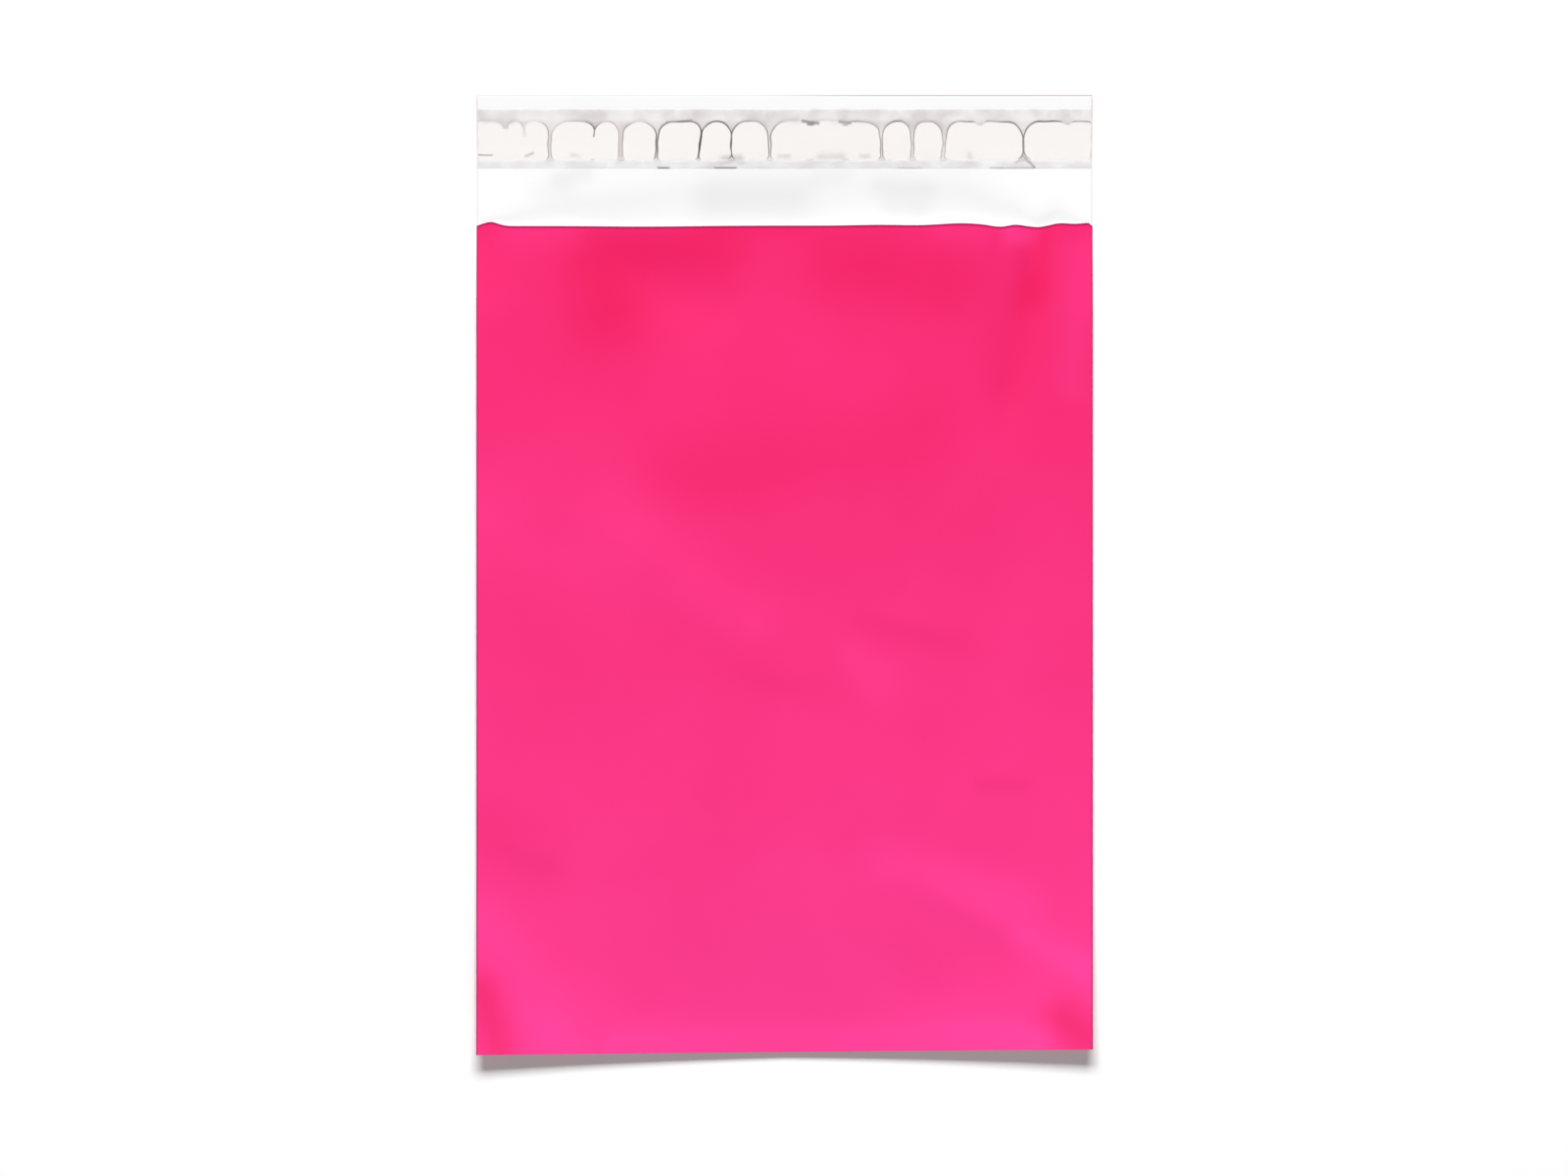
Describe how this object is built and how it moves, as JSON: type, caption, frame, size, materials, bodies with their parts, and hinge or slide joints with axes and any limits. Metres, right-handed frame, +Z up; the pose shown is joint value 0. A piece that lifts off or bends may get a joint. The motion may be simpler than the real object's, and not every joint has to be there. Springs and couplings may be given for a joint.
{
  "type": "poly mailer bag",
  "caption": "Empty flat mailer of thin film, pink outside and white inside, open at the mouth, with its sealing flap laid out and a peel-off liner over the adhesive strip.",
  "frame": {"origin": "middle of the footprint, on the surface that the mailer lies on", "axes": "+X across the mailer, +Y along it from the bottom fold to the flap, +Z up through the film, out of the front panel"},
  "size_m": [0.2288, 0.3564, 0.0092],
  "materials": {
    "pouch": "semi-matte polyethylene film, pink outside and white inside",
    "adhesive_strip": "tacky hot-melt adhesive, off-white",
    "release_liner": "clear puckered film"
  },
  "bodies": {
    "root": {"pouch": "pouch", "adhesive_strip": "adhesive_strip", "release_liner": "release_liner"}
  },
  "joints": []
}
